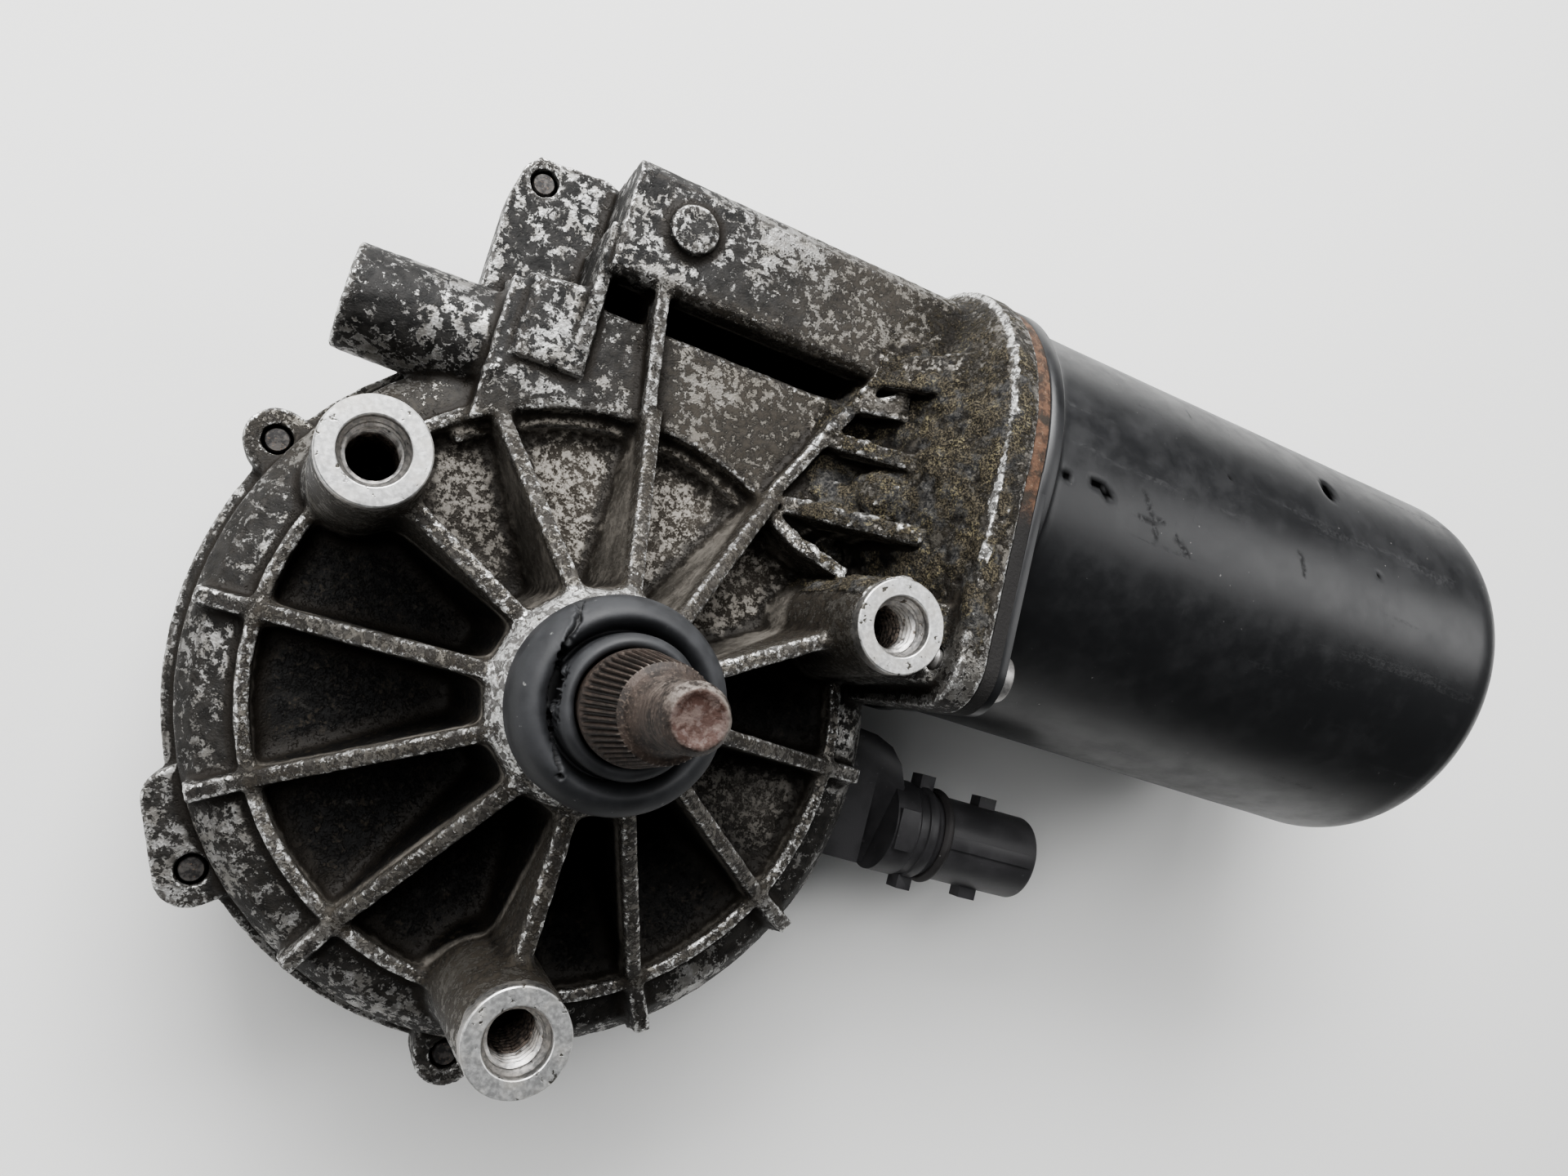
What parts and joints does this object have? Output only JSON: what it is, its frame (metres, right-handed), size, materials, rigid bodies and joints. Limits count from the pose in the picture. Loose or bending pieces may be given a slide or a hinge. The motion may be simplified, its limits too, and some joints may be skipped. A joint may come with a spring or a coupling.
{
  "type": "wiper gearmotor",
  "caption": "Wiper gearmotor: a brushed motor with a worm drive in a ribbed cast gearbox turning a serrated output shaft between threaded mounting bosses.",
  "frame": {"origin": "centre of the output shaft's outer end face, where the crank arm's nut is fitted", "axes": "+Z out of the gearbox along the output shaft, +X along the armature from the worm to the closed end of the motor can, +Y from the output shaft towards the motor's side of the gearbox"},
  "size_m": [0.2886, 0.1954, 0.1456],
  "materials": {
    "gear_housing": "weathered die casting",
    "rear_cover": "weathered",
    "cover_gasket": "matte",
    "cover_screw_1": "zinc plated, weathered",
    "cover_screw_2": "zinc plated, weathered",
    "cover_screw_3": "zinc plated, weathered",
    "cover_screw_4": "zinc plated, weathered",
    "cover_screw_5": "zinc plated, weathered",
    "cover_screw_6": "zinc plated, weathered",
    "cover_screw_7": "zinc plated, weathered",
    "shaft_bush_front": "sintered bronze",
    "shaft_bush_rear": "sintered bronze",
    "thrust_washer": "bronze",
    "shaft_seal_ring": "matte",
    "shaft_seal_cap": "weathered, cracked lip",
    "worm_bearing_outer": "ground",
    "stub_bush": "sintered bronze",
    "thrust_pad": "matte",
    "rear_bush": "sintered bronze",
    "motor_can": "semi-gloss black, scuffed",
    "motor_gasket": "rust stained",
    "motor_screw_1": "zinc plated, weathered",
    "motor_screw_2": "zinc plated, weathered",
    "magnet_1": "sintered ferrite",
    "magnet_2": "sintered ferrite",
    "magnet_3": "sintered ferrite",
    "magnet_4": "sintered ferrite",
    "brush_plate": "phenolic",
    "brush_1": "carbon",
    "brush_2": "carbon",
    "brush_spring_1": "spring steel",
    "brush_spring_2": "spring steel",
    "connector_housing": "moulded",
    "connector_pin_1": "stamped",
    "connector_pin_2": "stamped",
    "connector_pin_3": "stamped",
    "connector_pin_4": "stamped",
    "connector_seal": "matte",
    "contact_carrier": "matte",
    "contact_spring_1": "stamped",
    "contact_spring_2": "stamped",
    "contact_spring_3": "stamped",
    "output_shaft": "rusted",
    "worm_wheel": "natural acetal",
    "wheel_hub": "turned",
    "park_contact_disc": "stamped",
    "shaft_circlip": "phosphated",
    "worm_shaft": "ground",
    "armature_core": "lamination stack",
    "armature_winding_front": "lacquered copper wire",
    "armature_winding_rear": "lacquered copper wire",
    "commutator": "turned copper",
    "worm_bearing_inner": "ground",
    "worm_bearing_balls": "polished",
    "armature_washer": "matte"
  },
  "bodies": {
    "gearbox": {"gear_housing": "gear_housing", "rear_cover": "rear_cover", "cover_gasket": "cover_gasket", "cover_screw_1": "cover_screw_1", "cover_screw_2": "cover_screw_2", "cover_screw_3": "cover_screw_3", "cover_screw_4": "cover_screw_4", "cover_screw_5": "cover_screw_5", "cover_screw_6": "cover_screw_6", "cover_screw_7": "cover_screw_7", "shaft_bush_front": "shaft_bush_front", "shaft_bush_rear": "shaft_bush_rear", "thrust_washer": "thrust_washer", "shaft_seal_ring": "shaft_seal_ring", "shaft_seal_cap": "shaft_seal_cap", "worm_bearing_outer": "worm_bearing_outer", "stub_bush": "stub_bush", "thrust_pad": "thrust_pad", "rear_bush": "rear_bush", "motor_can": "motor_can", "motor_gasket": "motor_gasket", "motor_screw_1": "motor_screw_1", "motor_screw_2": "motor_screw_2", "magnet_1": "magnet_1", "magnet_2": "magnet_2", "magnet_3": "magnet_3", "magnet_4": "magnet_4", "brush_plate": "brush_plate", "brush_1": "brush_1", "brush_2": "brush_2", "brush_spring_1": "brush_spring_1", "brush_spring_2": "brush_spring_2", "connector_housing": "connector_housing", "connector_pin_1": "connector_pin_1", "connector_pin_2": "connector_pin_2", "connector_pin_3": "connector_pin_3", "connector_pin_4": "connector_pin_4", "connector_seal": "connector_seal", "contact_carrier": "contact_carrier", "contact_spring_1": "contact_spring_1", "contact_spring_2": "contact_spring_2", "contact_spring_3": "contact_spring_3"},
    "output": {"output_shaft": "output_shaft", "worm_wheel": "worm_wheel", "wheel_hub": "wheel_hub", "park_contact_disc": "park_contact_disc", "shaft_circlip": "shaft_circlip"},
    "armature": {"worm_shaft": "worm_shaft", "armature_core": "armature_core", "armature_winding_front": "armature_winding_front", "armature_winding_rear": "armature_winding_rear", "commutator": "commutator", "worm_bearing_inner": "worm_bearing_inner", "worm_bearing_balls": "worm_bearing_balls", "armature_washer": "armature_washer"}
  },
  "joints": [
    {"name": "output_spin", "type": "hinge", "parent": "gearbox", "child": "output", "pos_m": [0, 0, 0], "axis": [0, 0, 1], "continuous": true},
    {"name": "armature_spin", "type": "hinge", "parent": "gearbox", "child": "armature", "pos_m": [0, 0.0652, -0.095], "axis": [1, 0, 0], "continuous": true}
  ],
  "couplings": [
    {"joint": "armature_spin", "follows": "output_spin", "ratio": 75}
  ]
}
